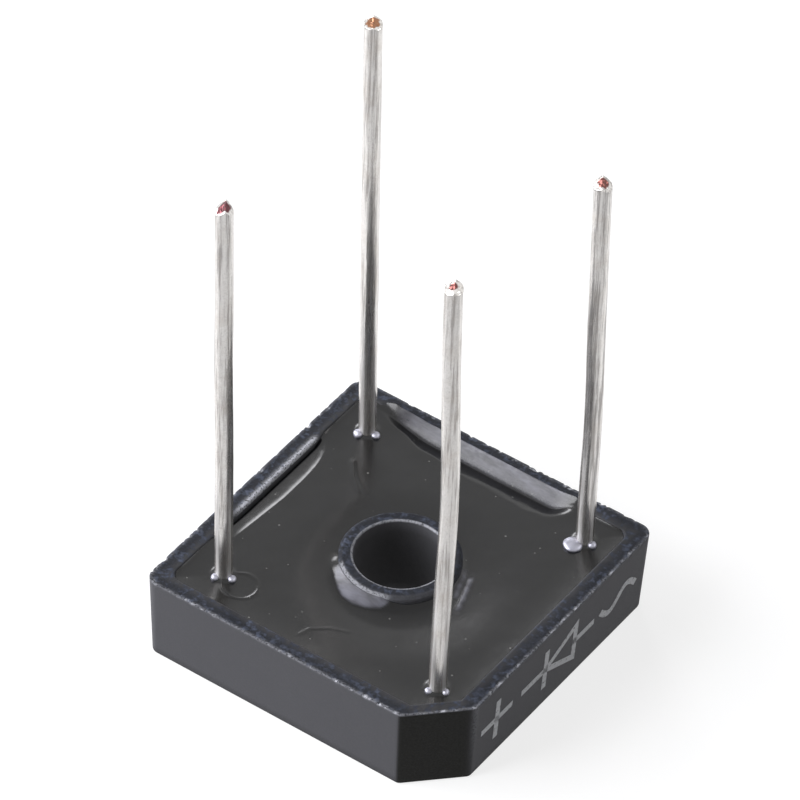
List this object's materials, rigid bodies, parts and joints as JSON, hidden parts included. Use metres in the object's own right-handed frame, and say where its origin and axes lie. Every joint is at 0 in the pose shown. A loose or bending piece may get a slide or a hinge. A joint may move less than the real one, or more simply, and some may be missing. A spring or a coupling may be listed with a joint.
{
  "type": "bridge rectifier",
  "caption": "Square potted bridge rectifier with straight wire leads, a screw hole through its middle and a cut corner that marks the positive lead.",
  "frame": {"origin": "centre of the closed mounting face, on the axis of the screw hole", "axes": "+Z along the leads; the cut corner and the positive lead are towards +X and -Y"},
  "size_m": [0.015, 0.015, 0.0264],
  "materials": {
    "case": "dark grey filled moulding resin, fine matte with small chips along the rim",
    "potting": "near-black potting compound, glossy and slightly uneven",
    "wire": "tinned copper wire with faint drawing lines, bare copper at the sheared ends",
    "strap": "stamped copper sheet",
    "silicon": "passivated silicon",
    "solder": "dull lead-free solder"
  },
  "bodies": {
    "root": {"case_shell": "case", "potting_compound": "potting", "lead_ac_left": "wire", "lead_ac_right": "wire", "lead_positive": "wire", "lead_negative": "wire", "strap_ac_left": "strap", "strap_ac_right": "strap", "strap_positive": "strap", "strap_negative": "strap", "die_front": "silicon", "die_right": "silicon", "die_back": "silicon", "die_left": "silicon", "solder_below_die_front": "solder", "solder_below_die_right": "solder", "solder_below_die_back": "solder", "solder_below_die_left": "solder", "solder_above_die_front": "solder", "solder_above_die_right": "solder", "solder_above_die_back": "solder", "solder_above_die_left": "solder", "foot_solder_ac_left": "solder", "foot_solder_ac_right": "solder", "foot_solder_positive": "solder", "foot_solder_negative": "solder"}
  },
  "joints": []
}
